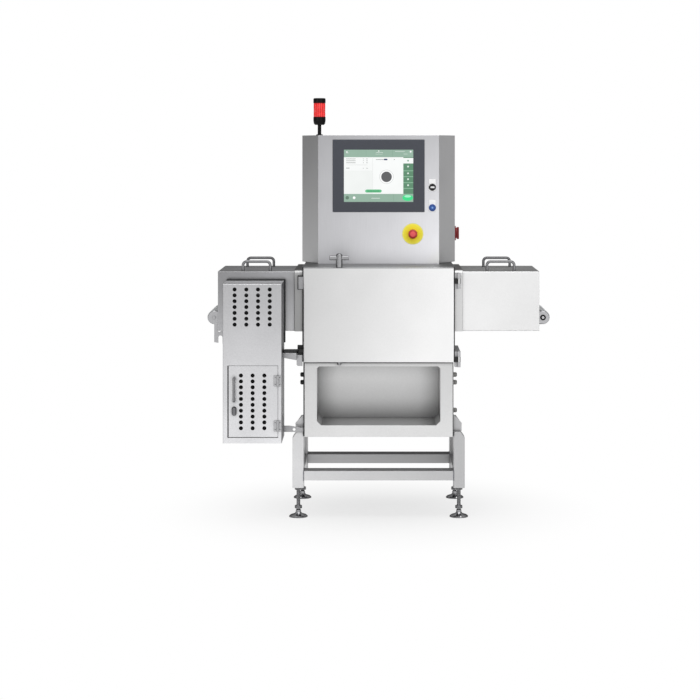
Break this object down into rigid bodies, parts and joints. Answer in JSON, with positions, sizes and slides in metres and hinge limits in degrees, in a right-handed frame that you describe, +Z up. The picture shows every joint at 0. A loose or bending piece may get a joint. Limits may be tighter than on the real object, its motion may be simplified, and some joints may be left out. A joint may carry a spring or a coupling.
{
  "type": "x-ray inspection system",
  "caption": "Free-standing x-ray inspection machine: belt through a shielded tunnel, hinged chamber door, touch screen head, signal beacon, side cabinet.",
  "frame": {"origin": "middle of the floor rectangle under the machine", "axes": "+X along the belt from infeed to outfeed, -Y towards the operator, +Z up"},
  "size_m": [1.4838, 0.82, 1.805],
  "materials": {
    "foot_steel": "turned and polished",
    "stand_steel": "bead blasted",
    "housing_steel": "bead blasted",
    "door_steel": "bead blasted",
    "head_steel": "bead blasted",
    "tunnel_steel": "bead blasted",
    "cabinet_steel": "brushed upright",
    "hinge_steel": "milled",
    "conveyor_steel": "milled",
    "handle_steel": "polished",
    "gland_metal": "nickel plated",
    "gasket_rubber": "moulded",
    "black_plastic": "moulded",
    "belt_white": "smooth coated fabric",
    "detector_aluminium": "anodised",
    "generator_paint": "powder coat",
    "bezel_aluminium": "dark anodised",
    "display_glass": "lit screen behind glass",
    "white_plate": "smooth",
    "control_chrome": "polished",
    "stop_yellow": "smooth",
    "stop_red": "moulded",
    "button_blue": "moulded",
    "beacon_black": "moulded",
    "beacon_red": "ribbed, lit from inside",
    "switch_red": "moulded",
    "lead_sheet": "bonded lead sheet",
    "curtain_rubber": "lead rubber, slit"
  },
  "bodies": {
    "frame": {"foot_pads": "foot_steel", "foot_stems": "foot_steel", "legs": "stand_steel", "stand_crossbars": "stand_steel", "leg_brackets": "stand_steel", "base_housing": "housing_steel", "alcove_liner": "housing_steel", "cable_glands": "gland_metal", "chamber_housing": "housing_steel", "door_gasket": "gasket_rubber", "tunnel_collars": "tunnel_steel", "door_hinge_brackets": "hinge_steel", "interlock_switches": "black_plastic", "conveyor_side_rails": "conveyor_steel", "conveyor_belt": "belt_white", "slider_bed": "conveyor_steel", "line_detector": "detector_aluminium", "infeed_hook_brackets": "conveyor_steel", "tunnel_trays": "tunnel_steel", "head_housing": "head_steel", "head_front_panel": "head_steel", "rear_service_panel": "head_steel", "xray_generator": "generator_paint", "display_bezel": "bezel_aluminium", "display_glass": "display_glass", "panel_computer": "black_plastic", "control_label_plates": "white_plate", "control_rings": "control_chrome", "emergency_stop_disc": "stop_yellow", "beacon_pole": "beacon_black", "beacon_housing": "beacon_black", "beacon_lens": "beacon_red", "main_switch_plate": "black_plastic", "cabinet_shell": "cabinet_steel", "cabinet_hinge_leaves_fixed": "hinge_steel", "cabinet_arms": "stand_steel", "fan_frame": "black_plastic", "drive_controller": "black_plastic"},
    "front_door": {"front_door": "door_steel", "door_lead_lining": "lead_sheet", "door_hinge_arms": "hinge_steel", "interlock_actuators": "hinge_steel"},
    "tee_handle": {"tee_handle": "handle_steel"},
    "infeed_hood": {"infeed_hood": "tunnel_steel", "infeed_hood_handles": "handle_steel"},
    "outfeed_hood": {"outfeed_hood": "tunnel_steel", "outfeed_hood_handles": "handle_steel"},
    "infeed_curtain": {"infeed_curtain": "curtain_rubber"},
    "outfeed_curtain": {"outfeed_curtain": "curtain_rubber"},
    "infeed_roller": {"infeed_roller": "conveyor_steel"},
    "drive_roller": {"drive_roller": "conveyor_steel"},
    "cabinet_door": {"cabinet_door": "cabinet_steel", "cabinet_hinge_leaves_door": "hinge_steel", "cabinet_pull_handle": "handle_steel"},
    "cabinet_latch": {"cabinet_latch": "handle_steel"},
    "emergency_stop_button": {"emergency_stop_button": "stop_red"},
    "start_button": {"start_button": "button_blue"},
    "key_switch_core": {"key_switch_core": "control_chrome"},
    "main_switch_handle": {"main_switch_handle": "switch_red"},
    "fan_rotor": {"fan_rotor": "black_plastic"}
  },
  "joints": [
    {"name": "front_door_swing", "type": "hinge", "parent": "frame", "child": "front_door", "pos_m": [0.342, -0.218, 0.8735], "axis": [0, 0, 1], "range_deg": [0, 110]},
    {"name": "tee_handle_turn", "type": "hinge", "parent": "front_door", "child": "tee_handle", "pos_m": [-0.168, -0.221, 0.87], "axis": [0, 0, 1], "range_deg": [0, 90]},
    {"name": "infeed_hood_lift", "type": "slide", "parent": "frame", "child": "infeed_hood", "axis": [0, 0, 1], "range_m": [0, 0.15]},
    {"name": "outfeed_hood_lift", "type": "slide", "parent": "frame", "child": "outfeed_hood", "axis": [0, 0, 1], "range_m": [0, 0.15]},
    {"name": "infeed_curtain_swing", "type": "hinge", "parent": "infeed_hood", "child": "infeed_curtain", "pos_m": [-0.64, 0.075, 1.036], "axis": [0, 1, 0], "range_deg": [-60, 60]},
    {"name": "outfeed_curtain_swing", "type": "hinge", "parent": "outfeed_hood", "child": "outfeed_curtain", "pos_m": [0.64, 0.075, 1.036], "axis": [0, 1, 0], "range_deg": [-60, 60]},
    {"name": "drive_roller_spin", "type": "hinge", "parent": "frame", "child": "drive_roller", "pos_m": [0.712, 0.075, 0.851], "axis": [0, 1, 0], "continuous": true},
    {"name": "infeed_roller_spin", "type": "hinge", "parent": "frame", "child": "infeed_roller", "pos_m": [-0.712, 0.075, 0.851], "axis": [0, 1, 0], "continuous": true},
    {"name": "cabinet_door_swing", "type": "hinge", "parent": "frame", "child": "cabinet_door", "pos_m": [-0.42125, -0.386, 0.5235], "axis": [0, 0, 1], "range_deg": [0, 110]},
    {"name": "cabinet_latch_turn", "type": "hinge", "parent": "cabinet_door", "child": "cabinet_latch", "pos_m": [-0.6045, -0.382, 0.484], "axis": [0, 1, 0], "range_deg": [0, 90]},
    {"name": "emergency_stop_push", "type": "slide", "parent": "frame", "child": "emergency_stop_button", "axis": [0, 1, 0], "range_m": [0, 0.005]},
    {"name": "start_button_push", "type": "slide", "parent": "frame", "child": "start_button", "axis": [0, 1, 0], "range_m": [0, 0.003], "stiffness_N_per_m": 600},
    {"name": "key_switch_turn", "type": "hinge", "parent": "frame", "child": "key_switch_core", "pos_m": [0.236, 0.018, 1.413], "axis": [0, 1, 0], "range_deg": [0, 90]},
    {"name": "main_switch_turn", "type": "hinge", "parent": "frame", "child": "main_switch_handle", "pos_m": [0.3425, 0.314, 1.199], "axis": [1, 0, 0], "range_deg": [0, 90]},
    {"name": "fan_spin", "type": "hinge", "parent": "frame", "child": "fan_rotor", "pos_m": [-0.529, -0.36, 0.919], "axis": [0, 1, 0], "continuous": true}
  ],
  "couplings": [
    {"joint": "infeed_roller_spin", "follows": "drive_roller_spin", "ratio": 1}
  ]
}
